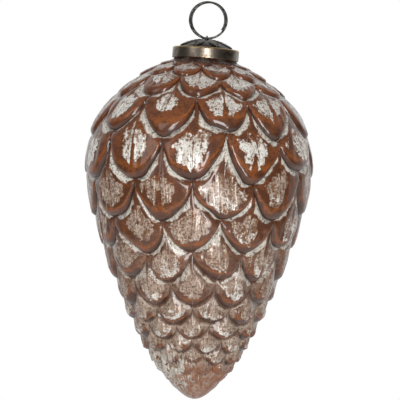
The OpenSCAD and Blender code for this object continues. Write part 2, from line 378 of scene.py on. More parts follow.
# Outline from the tip to the mouth, x = radius and z = height
def outlineCurve(shape):
    height = ornament["glassHeight"]
    neck = ornament["neckRadius"]
    mouth = height + ornament["neckHeight"]
    wide = shape["bodyRadius"]
    waist = shape["widestHeight"]
    handle = shape["neckHandle"]
    samples = 400
    knots = [((0, 0), (-shape["tipHandle"], 0), (shape["tipHandle"], 0)),
             ((wide, waist), (wide, waist - shape["flankHandle"]), (wide, waist + shape["shoulderHandle"])),
             ((neck, height), shape["shoulderAim"], (neck, height + handle)),
             ((neck, mouth), (neck, mouth - handle), (neck, mouth + handle))]
    curve = bpy.data.curves.new("outline", "CURVE")
    curve.dimensions = "3D"
    spline = curve.splines.new("BEZIER")
    spline.bezier_points.add(len(knots) - 1)
    for point, (at, left, right) in zip(spline.bezier_points, knots):
        point.handle_left_type = point.handle_right_type = "FREE"
        point.co = (at[0], 0, at[1])
        point.handle_left = (left[0], 0, left[1])
        point.handle_right = (right[0], 0, right[1])
    spline.resolution_u = 64
    # Share of the outline's length at each height
    share = np.linspace(0, 1, samples)[:, None]
    line = []
    for (start, _, out), (end, into, _) in zip(knots[:-1], knots[1:]):
        start, out, into, end = map(np.array, (start, out, into, end))
        line.append((1 - share) ** 3 * start + 3 * share * (1 - share) ** 2 * out
                    + 3 * share ** 2 * (1 - share) * into + share ** 3 * end)
    line = np.concatenate(line)
    run = np.concatenate([[0], np.cumsum(np.hypot(*np.diff(line, axis=0).T))])
    run /= run[-1]
    return linkObject("outline", curve), lambda h: float(np.interp(h, line[:, 1], run))


# How far a row's edges climb: not at the mouth, and less and less in the last rows
def climbShare(b, number, rows):
    return b.times(b.scale(number, -1, 0), b.scale(number, rows - 4, rows - 1, (1, 0)))


# Share of the way down a row, where the rings gather at its lip and groove
def gatherRings(b, share, gather):
    return b.minus(share, b.times(b.sine(b.times(share, fullTurn)), gather / fullTurn))


def coneTree(shape, shareAt, material):
    rows = len(shape["rowTips"]) + 1           # rows from the mouth, -1, to the tip
    neckFootHeight = ornament["glassHeight"]
    b, given, ends = openTree("pineConeGlass", "GeometryNodeTree",
                              [("Outline", "Geometry", None)] + inputRows(shape, glassKeys),
                              [("Glass", "Geometry")])
    b.tree.is_modifier = True
    columns = b.times(given["Scale Count"], given["Columns Per Scale"])
    outerRings = b.times(given["Rings Per Row"], rows + 1)
    rings = b.plus(outerRings, given["Inner Rings"])
    grid = b.add("GeometryNodeMeshGrid", {"Size X": 1.0, "Size Y": 1.0, "Vertices X": b.plus(columns, 1),
                                          "Vertices Y": b.plus(rings, 1)})
    place = b.split(b.add("GeometryNodeInputPosition").outputs[0])
    column = b.math("ROUND", b.times(b.plus(place[0], 0.5), columns))
    ring = b.math("ROUND", b.times(b.plus(place[1], 0.5), rings))
    inside = b.beyond(ring, b.plus(outerRings, 0.5))
    outside = b.minus(1, inside)

    # Rows are counted down from the mouth, -1, to the tip; rings follow the scales' lower edges
    lattice = b.divide(column, given["Columns Per Scale"])
    count = b.minus(rows, b.divide(ring, given["Rings Per Row"]))
    row = b.math("CEIL", b.most(count, -0.999))
    odd = b.math("FLOORED_MODULO", row, 2)
    evenSide = b.times(b.absolute(b.minus(lattice, b.math("ROUND", lattice))), 2)
    side = b.mix(odd, evenSide, b.minus(1, evenSide))
    share = b.minus(b.plus(count, 1), row)

    def edgeRow(number, across):
        rest = b.minus(1, b.power(b.least(across, 1), given["Edge Power"]))
        drop = b.minus(1, b.power(b.most(rest, 0), given["Edge Bulge"]))
        return b.minus(number, b.times(climbShare(b, number, rows), given["Edge Climb"], drop))

    lower = edgeRow(row, side)
    upper = edgeRow(b.minus(row, 1), b.minus(1, side))
    level = b.plus(upper, b.times(b.minus(lower, upper), gatherRings(b, share, shape["ringGather"])))
    below = b.minus(lower, level)
    above = b.minus(level, upper)

    # Hand-blown unevenness, each kind with its own seed
    turn = b.plus(given["Lattice Turn"], b.times(lattice, b.divide(fullTurn, given["Scale Count"])))
    around = b.aroundTube(turn, 1, b.times(level, 0.35))
    wound = b.aroundTube(turn, shape["fluteRadius"], b.times(level, 0.8))

    def uneven(where, size, detail, rough, seed):
        return b.evenNoise(where, size, detail, rough, b.plus(given["Seed"], seed))

    # The pattern drifts a little, as it does on a hand-blown mould
    wander = b.times(uneven(around, 1.7, 1.5, 0.55, 0), given["Drift"])
    sway = b.times(uneven(around, 1.9, 1.5, 0.55, 7), given["Drift"])
    calm = b.times(b.step(level, -0.5, 3), b.step(level, rows - 4, rows - 1, (1, 0)))
    moved = b.plus(level, b.times(wander, calm, 4))
    turned = b.plus(turn, b.times(sway, calm, 0.9))

    # Row number to share of the outline's length
    curve = b.add("ShaderNodeFloatCurve", {"Value": b.scale(moved, -1, rows)})
    marks = [(-1, 1.0)] + [(i, shareAt(tip * ornament["glassHeight"]))
                           for i, tip in enumerate(shape["rowTips"])] + [(rows, 0.0)]
    line = curve.mapping.curves[0]
    while len(line.points) < len(marks):
        line.points.new(0.5, 0.5)
    for point, (number, along) in zip(line.points, sorted(marks)):
        point.location = ((number + 1) / (rows + 1), along)
        point.handle_type = "VECTOR"
    curve.mapping.update()
    fromMouth = b.divide(b.minus(b.minus(ring, outerRings), 1), b.minus(given["Inner Rings"], 1))
    along = b.mix(inside, curve.outputs[0], b.minus(1, fromMouth))
    sample = b.add("GeometryNodeSampleCurve", {"Curves": given["Outline"], "Factor": along}, mode="FACTOR")
    radius, _, height = b.split(sample.outputs["Position"])
    outward, _, upward = b.split(sample.outputs["Tangent"])

    # Relief: steep lip, sunk stem and sides, fine flutes down the face
    def rise(value, width):
        rest = b.scale(value, 0, width, (1, 0))
        return b.minus(1, b.times(rest, rest))

    knob = b.step(level, *shape["knobRows"])
    lip = rise(below, b.times(given["Lip Width"], b.plus(1.3, b.times(knob, shape["knobLip"]))))
    groove = rise(above, b.times(given["Groove Width"], b.plus(1, b.times(knob, shape["knobGroove"]))))
    stem = b.power(b.times(b.most(below, 0), 0.5), 1.2)
    face = b.minus(1, b.times(stem, given["Stem Sink"]))
    sideSink = b.times(given["Side Sink"], b.plus(1.1, b.times(knob, shape["knobSide"])))
    crown = b.minus(1, b.times(side, side, sideSink))
    tall = b.times(b.plus(1, b.times(knob, shape["knobRise"])), lip, groove, face, crown)
    tall = b.plus(tall, b.times(knob, -shape["knobSink"]))
    size = b.power(b.divide(radius, shape["bodyRadius"]), 0.6)
    flutes = b.times(uneven(wound, 1.0, 2.0, 0.5, 5), b.step(below, 0.15, 0.4), b.step(above, 0.2, 0.5))
    lumps = b.times(uneven(around, 11.0, 2.0, 0.55, 11),
                    b.step(level, *shape["lumpRows"], (0, shape["lumpSize"])))
    swell = b.plus(uneven(around, 5.0, 2.0, 0.55, 3), lumps)
    proud = b.plus(b.times(given["Relief"], tall, size), b.times(flutes, given["Flute Depth"]),
                   b.times(swell, given["Wobble"]))
    fade = b.times(b.step(height, *shape["tipFade"]),
                   b.step(height, neckFootHeight - shape["neckFade"], neckFootHeight, (1, 0)))
    offset = b.minus(b.times(proud, fade, outside), b.times(inside, given["Wall"]))
    radius = b.most(b.plus(radius, b.times(offset, upward)), 0)
    height = b.minus(height, b.times(offset, outward))

    # The centre line turns aside below the neck and runs straight on above its foot
    ease = b.step(height, ornament["leanFrom"], neckFootHeight)
    lean = b.times(ease, ornament["neckLean"])
    leanSine = b.sine(lean)
    leanCosine = b.cosine(lean)
    inNeck = b.most(b.minus(height, neckFootHeight), 0)
    across = b.times(radius, b.sine(turned))
    x = b.plus(b.times(ease, ornament["neckShift"]), b.times(inNeck, leanSine), b.times(across, leanCosine))
    y = b.times(radius, b.times(b.cosine(turned), -1))
    z = b.plus(b.least(height, neckFootHeight),
               b.minus(b.times(inNeck, leanCosine), b.times(across, leanSine)))
    middle = b.add("ShaderNodeVectorMath", {0: b.vector(x, y, z), 1: tuple(hookPoint)}, operation="SUBTRACT")

    # coneMap: x counts the scales round, y the rows down, along the edges that the rings follow
    stored = b.add("GeometryNodeStoreNamedAttribute",
                   {"Geometry": grid.outputs["Mesh"], "Name": "coneMap", "Value": b.vector(lattice, count)},
                   data_type="FLOAT2", domain="CORNER")
    shaped = b.add("GeometryNodeSetPosition", {"Geometry": stored.outputs[0], "Position": middle.outputs[0]})
    merged = b.add("GeometryNodeMergeByDistance", {"Geometry": shaped.outputs[0], "Distance": 0.002 * mm})
    smooth = b.add("GeometryNodeSetShadeSmooth", {0: merged.outputs[0]})
    return dress(b, ends, smooth.outputs[0], material)


def makeGlass(shape, material):
    outline, shareAt = outlineCurve(shape)
    tree = coneTree(shape, shareAt, material)
    body = growMesh("glassBody", outline, tree, {inputName(key): shape[key] for key in glassKeys})
    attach(body, "ornament")
    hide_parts("glass_body")
    return body


# Painted glass
glassPaint = {
    "brown": paint(115, 60, 20),
    "brownDeep": paint(83, 43, 16),
    "amber": paint(142, 76, 14),
    # painted shade on the lips' undersides, and a painted dark reflection along their lowest edges
    "lipShade": paint(68, 34, 12),
    "lipDarkReflection": paint(42, 26, 16),
    "crevice": paint(208, 204, 193),
    "creviceLow": paint(172, 156, 142),
    "creviceTop": paint(178, 160, 150),
    "silver": paint(224, 221, 213),
    "veil": paint(176, 158, 142),
    "veilDark": paint(116, 78, 52),
    "dust": paint(152, 131, 114),
    "speck": paint(58, 32, 20),
    # painted shade on the glass just under the cap
    "neckShade": paint(44, 28, 28),
    "tipBrown": paint(132, 74, 34),
    "tipPale": paint(196, 193, 182),
}

# How the paint is worn. Rows are counted from the neck; a larger size gives a finer pattern.
glassWear = {
    "topRows": (1.6, 3.2),           # the small rows under the cap end here
    "lowRows": (5.8, 10.5),          # rows over which the paint turns dusty
    "lastPatchRows": (12.5, 14.5),
    "paleTipRows": (11.5, 13.5),
    "bareRows": (12.4, 14.6),
    "blotchSize": 260.0,
    "grainSize": 850.0,
    "streakRadius": 26,
    "flakeSize": 420.0,
    "flakeRagged": 0.46,
    "speckSize": 1350.0,
    "speckShare": 0.75,
    "smudgeSize": 210.0,
    "roughPaint": 0.5,
    "roughSilver": 0.2,
    "coatPaint": 0.8,
    "coatSilver": 0.4,
    "silverMetal": 0.12,
}


# Where a point lies on its scale. Lengths are in half widths of a scale; Up starts at its lowest point.
def scaleLayoutGroup(shape):
    rows = len(shape["rowTips"]) + 1
    tiny = 0.0001
    b, given, ends = openTree(
        "scaleLayout", "ShaderNodeTree",
        [("Map", "Vector", None)] + inputRows(shape, layoutKeys),
        [("Side", "Float"), ("Up", "Float"), ("To Lip", "Float"), ("To Groove", "Float"),
         ("Chance", "Vector"), ("Luck", "Vector")])
    place = b.split(given["Map"])
    row = b.math("CEIL", place[1])
    odd = b.math("FLOORED_MODULO", row, 2)
    shifted = b.minus(place[0], b.times(odd, 0.5))
    centre = b.math("ROUND", shifted)
    side = b.times(b.minus(shifted, centre), 2)
    warped = gatherRings(b, b.minus(b.plus(place[1], 1), row), shape["ringGather"])
    across = b.absolute(side)

    # An edge's row number, and how much longer its slant is than its width
    def edge(number, away):
        climb = b.times(climbShare(b, number, rows), given["Edge Climb"])
        rest = b.most(b.minus(1, b.power(b.least(away, 1), given["Edge Power"])), tiny)
        drop = b.times(climb, b.minus(1, b.power(rest, given["Edge Bulge"])))
        steep = b.divide(b.power(b.most(away, tiny), b.minus(given["Edge Power"], 1)),
                         b.power(rest, b.minus(1, given["Edge Bulge"])))
        slope = b.times(steep, given["Edge Power"], given["Edge Bulge"], climb, given["Row Height"])
        return b.minus(number, drop), b.math("SQRT", b.plus(b.times(slope, slope), 1))

    lower, lowerSlant = edge(row, across)
    upper, upperSlant = edge(b.minus(row, 1), b.minus(1, across))
    gap = b.times(b.minus(lower, upper), given["Row Height"])
    aboveLip = b.times(gap, b.minus(1, warped))
    up = b.plus(b.times(b.minus(row, lower), given["Row Height"]), aboveLip)
    toLip = b.divide(aboveLip, lowerSlant)
    toGroove = b.divide(b.times(gap, warped), upperSlant)
    wrapped = b.math("FLOORED_MODULO", centre, shape["scaleCount"])
    draws = [b.add("ShaderNodeTexWhiteNoise", {"Vector": b.vector(wrapped, row, shape["seed"] + more)},
                   noise_dimensions="3D").outputs["Color"] for more in (0, 31)]
    for end, value in zip(ends, (side, up, toLip, toGroove, *draws)):
        b.put(end, value)
    return b.tree


# Ragged, speckled mask of rubbed paint, solid where Field is well above 0
def rubbedPaintGroup():
    b, given, ends = openTree(
        "rubbedPaint", "ShaderNodeTree",
        [("Vector", "Vector", None), ("Field", "Float", 0.5), ("Ragged", "Float", 0.3),
         ("Size", "Float", 500.0), ("Speckle", "Float", 0.5), ("Seed", "Float", 0.0)],
        [("Mask", "Float"), ("Thin", "Float")])
    where, seed = given["Vector"], given["Seed"]
    coarse = b.evenNoise(where, given["Size"], 4.0, 0.6, seed, 0.3)
    grain = b.noise(where, b.times(given["Size"], 4.0), 3.0, 0.65, b.plus(seed, 3))
    cloud = b.evenNoise(where, b.times(given["Size"], 0.8), 3.0, 0.6, b.plus(seed, 9))
    edge = b.plus(given["Field"], b.times(coarse, b.times(given["Ragged"], 2)))
    solid = b.step(edge, 0.0, 0.05)
    thin = b.step(b.plus(cloud, b.times(given["Speckle"], 0.2)), -0.02, 0.12)
    limit = b.plus(0.3, b.times(thin, 0.14))
    holes = b.step(b.plus(grain, b.times(edge, 0.2)), limit, b.plus(limit, 0.07))
    b.put(ends[0], b.times(solid, holes))
    b.put(ends[1], thin)
    return b.tree


# The masks and noises that the layers of paint share
def scaleMasks(b, wear, shape):
    here = b.add("ShaderNodeTexCoord").outputs["Object"]
    cone = b.add("ShaderNodeUVMap", uv_map="coneMap").outputs[0]
    side, up, toLip, toGroove, chance, luck = b.group(scaleLayoutGroup(shape), {"Map": cone})
    lattice, level, _ = b.split(cone)
    angle = b.times(lattice, fullTurn / shape["scaleCount"])
    wound = b.aroundTube(angle, wear["streakRadius"], b.times(level, 1.3))
    m = SimpleNamespace(here=here, level=level, side=side, away=b.absolute(side), up=up, toLip=toLip,
                        toGroove=toGroove, chance=b.split(chance), luck=b.split(luck))
    m.low = b.step(level, *wear["lowRows"])
    m.top = b.step(level, *wear["topRows"], (1, 0))
    m.coarse = b.noise(here, wear["blotchSize"], 5.0, 0.6, 1.0, 0.3)
    m.ragged = b.minus(m.coarse, 0.5)
    m.fine = b.noise(here, wear["grainSize"], 4.0, 0.72, 2.0)
    m.streaks = b.evenNoise(wound, 1.0, 1.6, 0.5, 5.0, 0.5)
    m.fray = lambda value, share: b.plus(value, b.times(m.ragged, share))
    m.mottled = b.plus(b.times(m.streaks, 0.4), m.fray(b.times(b.minus(m.fine, 0.5), 1.3), 0.5))
    return m


# Brown ground with a painted shade crescent on the lip's underside, a thin painted dark reflection along the
# lip's edge, and a brighter amber band just above the crescent
def brownGround(b, look, m):
    middle = b.power(b.most(b.minus(1, b.times(m.away, 1.1)), 0), 1.2)
    crescent = b.plus(b.mix(m.top, 1.0, 0.5), b.times(m.low, 0.5))
    crescent = b.times(b.plus(0.16, b.times(m.luck[0], 0.16)), crescent)
    depth = b.plus(0.06, b.times(middle, crescent))
    lipShare = b.divide(m.fray(m.toLip, 0.14), depth)
    tone = b.plus(m.coarse, b.step(m.level, 3.0, 6.0, (0.06, -0.07)))
    ground = b.blend(b.step(tone, 0.4, 0.6), look["brownDeep"], look["brown"])
    rim = b.times(b.step(lipShare, 0.9, 1.3), b.step(lipShare, 1.4, 2.0, (1, 0)))
    ground = b.blend(b.times(rim, b.step(m.fine, 0.4, 0.6, (0.2, 0.7))), ground, look["amber"])
    # Painted shade: the lip's underside is darker, and a thin painted dark reflection lies along its lowest
    # edge
    darkReflectionFade = b.step(lipShare, 0.12, b.plus(0.2, b.times(m.chance[2], 0.4)))
    shade = b.blend(darkReflectionFade, look["lipDarkReflection"], look["lipShade"])
    shaded = b.step(b.plus(lipShare, m.ragged), b.mix(m.low, 0.3, 0.8), b.mix(m.low, 1.3, 1.25), (0.95, 0))
    return b.blend(b.times(shaded, b.step(m.level, 1.5, 5.0, (0.4, 1))), ground, shade)


# 0 in the middle of an oval on the scale and 1 on its rim
def ovalShare(b, m, middle, half):
    across = b.divide(b.minus(m.side, middle[0]), half[0])
    along = b.divide(b.minus(m.up, middle[1]), half[1])
    return b.math("SQRT", b.plus(b.times(across, across), b.times(along, along)))


# Grey dust that the paint leaves between the knobs towards the tip, with a painted shadow just under each
# knob
def knobDustAndShadow(b, look, m, ground):
    knob = ovalShare(b, m, (0, 0.7), (0.82, 1.1))
    between = b.most(b.step(m.fray(knob, 0.9), 0.78, 1.04), b.step(m.fray(m.toGroove, 0.4), 0.5, 0.3))
    dust = b.blend(b.step(m.fine, 0.36, 0.56, (0.4, 1)), look["veilDark"], look["dust"])
    # Painted shadow right under each knob's lip, in the lips' shade colour
    shadow = b.step(m.fray(m.toGroove, 0.2), 0.02, 0.16, (0.8, 0))
    dust = b.blend(shadow, dust, look["lipShade"])
    return b.blend(b.times(between, m.low, b.step(m.coarse, 0.36, 0.5, (0.55, 0.95))), ground, dust)


# Silvery patches: a long one, often split by a brown strip, and a narrow one beside it
def patchField(b, wear, m):
    chance, luck = m.chance, m.luck
    mainSide = b.times(b.minus(chance[0], 0.5), 0.36)
    mainUp = b.plus(b.mix(m.low, 0.95, 0.7), b.times(chance[1], 0.25))
    halfSide = b.plus(b.mix(m.low, b.step(m.level, 3.5, 6.0, (0.46, 0.42)), 0.46), b.times(chance[2], 0.26))
    halfUp = b.plus(b.mix(m.low, 0.54, 0.62), b.times(luck[1], 0.28))
    main = b.minus(1, ovalShare(b, m, (mainSide, mainUp), (halfSide, halfUp)))
    besideSide = b.times(b.minus(b.times(b.beyond(luck[2], 0.5), 2), 1), 0.7)
    besideUp = b.plus(1.0, b.times(chance[0], 0.3))
    beside = b.minus(1, ovalShare(b, m, (besideSide, besideUp), (0.12, 0.5)))
    beside = b.minus(beside, b.beyond(chance[1], 0.6))
    fromStrip = b.absolute(m.fray(b.minus(m.side, mainSide), 0.3))
    strip = b.times(b.step(fromStrip, 0.05, 0.13, (1, 0)), b.beyond(luck[0], 0.5))
    field = b.minus(b.most(main, beside), b.times(strip, 0.7))
    # On the small upper rows the silver lies behind each scale's brown lip
    behindLip = b.times(b.minus(m.up, b.plus(0.62, b.times(chance[0], 0.3))), 1.4)
    field = b.mix(m.top, field, b.least(behindLip, 0.35))
    # It keeps clear of the lip and the groove
    fromLip = b.minus(m.toLip, b.plus(b.mix(m.low, 0.22, 0.34), b.times(luck[2], 0.2)))
    fromGroove = b.minus(m.toGroove, b.mix(m.top, b.step(m.level, 3.0, 6.5, (0.3, 0.17)), 0.05))
    field = b.least(field, b.least(b.times(fromLip, 1.6), b.times(fromGroove, 1.6)))
    return b.minus(field, b.times(b.step(m.level, *wear["lastPatchRows"]), 0.8))


# Bright where the silver lies thick, mostly at a patch's lower end, and mottled elsewhere
def silverTone(b, look, m, thin):
    veil = b.blend(b.step(m.mottled, -0.1, 0.08, (b.times(m.low, 0.4), 1)), look["veilDark"], look["veil"])
    lowEnd = b.times(b.scale(m.up, 0.3, 1.5, (0.16, -0.16)), b.mix(m.low, 1.0, 1.5))
    thick = b.plus(m.fray(lowEnd, 0.9), b.times(m.mottled, 0.5), b.times(b.minus(m.luck[1], 0.5), 0.2),
                   b.step(m.level, 3.5, 6.0, (0.12, -0.15)), b.times(m.low, 0.06))
    silver = b.blend(b.step(thick, -0.06, 0.06), veil, look["silver"])
    silver = b.blend(b.times(thin, 0.35), silver, look["veil"])
    return b.blend(b.times(b.step(m.level, 1.2, 2.2, (1, 0)), 0.7), silver, look["creviceTop"])


# Pale lines in the grooves, on both sides of each brown stem, lost under a lip's lowest point
def paleGrooves(b, look, m, colour):
    stem = b.times(b.step(m.fray(m.away, 0.12), 0.05, 0.1, (1, 0)), b.beyond(m.chance[1], 0.2))
    wideSide = b.beyond(b.times(m.side, b.minus(m.luck[1], 0.5)), 0)
    width = b.plus(b.times(b.step(m.away, 0.98, 0.6), b.mix(wideSide, 0.1, 0.16)),
                   b.step(m.level, 2.0, 5.5, (0.12, -0.02)))
    width = b.times(width, b.mix(m.low, 1.0, 0.35))
    line = b.minus(m.fray(width, 0.26), b.absolute(b.minus(m.toGroove, b.times(m.low, 0.2))))
    pale = b.times(b.step(line, -0.02, 0.035), b.minus(1, stem), b.step(m.fine, 0.28, 0.46))
    tone = b.blend(m.top, b.blend(m.low, look["crevice"], look["creviceLow"]), look["creviceTop"])
    tone = b.blend(b.times(b.step(m.mottled, 0.0, -0.16), 0.5), tone, look["veilDark"])
    return pale, b.blend(b.times(pale, 0.92), colour, tone)


# The tip is rubbed bare, and paler on its left
def bareTip(b, look, wear, m, colour):
    smudge = b.noise(m.here, wear["smudgeSize"], 5.0, 0.65, 12.0, 0.6)
    tipShare = b.step(b.plus(m.level, b.times(b.minus(smudge, 0.5), 9.0)), *wear["bareRows"])
    tone = b.blend(b.step(m.fine, 0.36, 0.6, (0.1, 0.75)), look["tipBrown"], look["veil"])
    tone = b.blend(b.step(smudge, 0.42, 0.56, (0, 0.95)), tone, look["tipBrown"])
    colour = b.blend(b.times(tipShare, 0.85), colour, tone)
    onLeft = b.least(b.times(b.plus(b.split(m.here)[0], 6 * mm), -20.0), 0.14)
    bare = b.step(b.plus(smudge, b.times(m.streaks, 0.6), onLeft), 0.5, 0.58)
    bare = b.times(bare, b.step(m.level, *wear["paleTipRows"]))
    grime = b.step(m.fray(m.mottled, 0.5), 0.0, -0.16)
    return bare, b.blend(b.times(bare, 0.85), colour, b.blend(grime, look["tipPale"], look["veilDark"]))


def glassMaterial(look, wear, shape):
    material, b = newMaterial("paintedGlass")
    m = scaleMasks(b, wear, shape)
    ground = knobDustAndShadow(b, look, m, brownGround(b, look, m))
    stretch = b.add("ShaderNodeVectorMath", {0: m.here, 1: (1.0, 1.0, 0.8)}, operation="MULTIPLY")
    patch, thin = b.group(rubbedPaintGroup(), {
        "Vector": stretch.outputs[0], "Field": patchField(b, wear, m), "Ragged": wear["flakeRagged"],
        "Size": wear["flakeSize"], "Speckle": b.minus(m.chance[2], 0.2), "Seed": m.luck[2]})
    colour = b.blend(b.times(patch, b.mix(m.low, 0.95, 0.85)), ground, silverTone(b, look, m, thin))
    pale, colour = paleGrooves(b, look, m, colour)
    specks = b.step(b.noise(m.here, wear["speckSize"], 2.0, 0.5, 8.0), 0.57, 0.61)
    colour = b.blend(b.times(specks, wear["speckShare"]), colour, look["speck"])
    bare, colour = bareTip(b, look, wear, m, colour)
    # Painted shade on the glass just under the cap
    shadeUnderCap = b.step(m.level, 0.1, 1.3, (1, 0))
    colour = b.blend(b.times(shadeUnderCap, 0.9), colour, look["neckShade"])

    bright = b.most(b.most(patch, pale), bare)
    ripple = b.times(m.streaks, b.mix(bright, 0.05, 0.8))
    height = b.plus(b.times(bright, 0.04), ripple, b.times(m.coarse, 0.12))
    bump = b.add("ShaderNodeBump", {"Strength": 1.0, "Distance": 1 * mm, "Height": height})
    b.finish(b.add("ShaderNodeBsdfPrincipled", {
        "Base Color": colour, "Roughness": b.mix(bright, wear["roughPaint"], wear["roughSilver"]),
        "Metallic": b.times(patch, wear["silverMetal"]), "IOR": 1.45, "Specular IOR Level": 0.35,
        "Normal": bump.outputs[0], "Coat Weight": b.mix(bright, wear["coatPaint"], wear["coatSilver"]),
        "Coat Roughness": 0.06, "Coat IOR": 1.5}))
    return material


body = makeGlass(glass, glassMaterial(glassPaint, glassWear, glass))
print("glass body:", len(body.data.polygons), "faces")

# Metal
metal = {
    "brass": paint(136, 126, 114),
    # worn brass on the band's rounded edges, also a painted highlight line there
    "brassWornAndEdgeHighlight": paint(204, 170, 116),
    "brassDirt": paint(66, 48, 42),
    "crownDark": paint(33, 32, 26),
    "crownWorn": paint(142, 138, 122),
    "wire": paint(92, 90, 86),
    "wireWorn": paint(150, 148, 142),
    "wireDirt": paint(34, 32, 30),
}
# Share, fineness and gloss of the tarnish
capTarnish = {"Dirt Share": 0.42, "Size": 320.0, "Gloss": 0.26}
wireTarnish = {"Dirt Share": 0.6, "Size": 700.0, "Gloss": 0.3}


# Metal with dark tarnish in patches and bright wear where Wear is 1
def wornMetalGroup():
    b, given, ends = openTree(
        "wornMetal", "ShaderNodeTree",
        [("Vector", "Vector", None), ("Base", "Color", None), ("Worn", "Color", None),
         ("Dirt", "Color", None), ("Wear", "Float", 0.0), ("Dirt Share", "Float", 0.4),
         ("Size", "Float", 600.0), ("Gloss", "Float", 0.3)],
        [("Color", "Color"), ("Roughness", "Float"), ("Height", "Float")])
    cloud = b.noise(given["Vector"], given["Size"], 5.0, 0.62, 3.0, 0.6)
    grain = b.noise(given["Vector"], b.times(given["Size"], 6.0), 3.0, 0.6, 6.0)
    share = b.plus(b.times(given["Dirt Share"], 0.5), 0.25)
    stain = b.step(b.minus(share, b.minus(cloud, 0.5)), 0.35, 0.75)
    worn = b.times(given["Wear"], b.step(b.plus(grain, b.times(given["Wear"], 0.4)), 0.5, 0.72))
    colour = b.blend(b.times(stain, b.minus(1, worn)), given["Base"], given["Dirt"])
    b.put(ends[0], b.blend(worn, colour, given["Worn"]))
    b.put(ends[1], b.plus(given["Gloss"], b.times(stain, 0.14), b.times(grain, 0.08)))
    b.put(ends[2], b.plus(grain, cloud))
    return b.tree


wornMetal = wornMetalGroup()


# finish gives the group's colours and wear, from the bench and the place on the piece
def metalMaterial(name, finish, tarnish):
    material, b = newMaterial(name)
    here = b.add("ShaderNodeTexCoord").outputs["Object"]
    colour, rough, height = b.group(wornMetal, {"Vector": here, **finish(b, here), **tarnish})
    bump = b.add("ShaderNodeBump", {"Strength": 0.18, "Distance": 0.1 * mm, "Height": height})
    b.finish(b.add("ShaderNodeBsdfPrincipled", {"Base Color": colour, "Roughness": rough, "Metallic": 1.0,
                                                "Normal": bump.outputs[0]}))
    return material


# Cap
cap = {
    "bandInside": 12.2 * mm,
    "bandLow": 0.3 * mm,
    "bandRings": (1.2 * mm, 2.2 * mm, 3.2 * mm),
    "hemRound": 0.12 * mm,           # at the band's lower edge
    "edgeRound": 0.6 * mm,
    "ledgeRings": (11.7 * mm, 11.2 * mm),
    "crownRadius": 10.8 * mm,
    "crownRings": 56,
    "columns": 320,
    "petals": 8,
    "petalWidth": 0.98,
    "petalRise": 0.42 * mm,
    "ribWidth": 0.09,                # in half widths of a petal
    "ribRise": 0.12 * mm,
    "veins": 7,
    "veinSlant": 1.9,
    "veinDepth": 0.1 * mm,
    "knobShare": 0.2,                # of the crown's radius, in the middle
    "knobRise": 0.1 * mm,
    "waviness": 0.06 * mm,           # hand-pressed sheet
}
crownBall = (cap["crownRadius"] ** 2 + ornament["crownHeight"] ** 2) / (2 * ornament["crownHeight"])
crownCentre = crownTop - crownBall


def underCrown(radius):
    return crownCentre + math.sqrt((crownBall - ornament["sheet"]) ** 2 - radius ** 2)


def softStep(value, low, high):
    share = np.clip((value - low) / (high - low), 0, 1)
    return share * share * (3 - 2 * share)


# Height of the embossing at a distance from the axis and an angle, and how much it is a raised vein
def embossing(shape, radius, angle):
    out = radius / shape["crownRadius"]
    step = fullTurn / shape["petals"]
    across = (angle / step - np.floor(angle / step) - 0.5) * 2
    room = np.clip((out - shape["knobShare"]) / 0.78, 0, 1)
    width = shape["petalWidth"] * np.sin(math.pi * room ** 0.75) ** 0.55
    inside = 1 - np.abs(across) / np.maximum(width, 0.02)
    petal = softStep(inside, 0, 0.45)
    rib = np.exp(-((across / shape["ribWidth"]) ** 2))
    vein = 0.5 + 0.5 * np.cos(fullTurn * (shape["veins"] * out - shape["veinSlant"] * np.abs(across)))
    rise = petal * (shape["petalRise"] * (1 - 0.3 * across ** 2) - shape["veinDepth"] * 0.9 * (1 - vein))
    rise += petal * rib * shape["ribRise"]
    knob = softStep(shape["knobShare"] - out, 0, 0.06) * shape["knobRise"]
    light = petal * np.clip(0.55 * vein + rib, 0, 1)
    return (rise + knob) * softStep(1 - out, 0.0, 0.05), light


# Radius, height and wear, from the inner top down inside, round the lower edge, and up to the outer top; the
# wear on the rounded edges is worn brass and also a painted highlight line.
# Also gives where the embossed crown starts.
def capSection(shape):
    sheet = ornament["sheet"]
    ledge = ornament["ledgeHeight"]
    inside = shape["bandInside"]
    outside = inside + sheet
    low = shape["bandLow"]
    hem = shape["hemRound"]
    bend = shape["edgeRound"]
    rim = shape["crownRadius"] - sheet
    fillet = 0.1 * mm
    section = [(r, underCrown(r), 0) for r in np.linspace(0, rim, 12)]
    section += [(rim + fillet, ledge - sheet, 0), (inside - fillet, ledge - sheet, 0),
                (inside, ledge - sheet - fillet, 0)]
    section += [(inside, h, 0) for h in (2.6 * mm, 1.2 * mm, low + hem)]
    # The rolled hem and the rounded top edge are worn bright, which also paints their highlight lines
    section += [(inside + sheet / 2 * (1 - math.cos(a)), low + hem * (1 - math.sin(a)), 0.6)
                for a in np.linspace(0.4, math.pi - 0.4, 6)]
    section += [(outside, low + 0.15 * mm, 0.5), (outside, low + 0.4 * mm, 0.12)]
    section += [(outside, h, wear) for h, wear in zip(shape["bandRings"], (0, 0, 0.05))]
    section += [(outside - bend * (1 - math.cos(a)), ledge - bend * (1 - math.sin(a)),
                 0.3 + 0.7 * math.sin(a)) for a in np.linspace(0, math.pi / 2, 9)]
    section += [(r, ledge, wear) for r, wear in zip(shape["ledgeRings"], (0.9, 0.4))]
    crown = np.linspace(shape["crownRadius"] * 1.005, 0, shape["crownRings"])
    crownFrom = len(section)
    section += [(r, crownCentre + math.sqrt(crownBall ** 2 - min(r, shape["crownRadius"]) ** 2), 0)
                for r in crown]
    return section, crownFrom


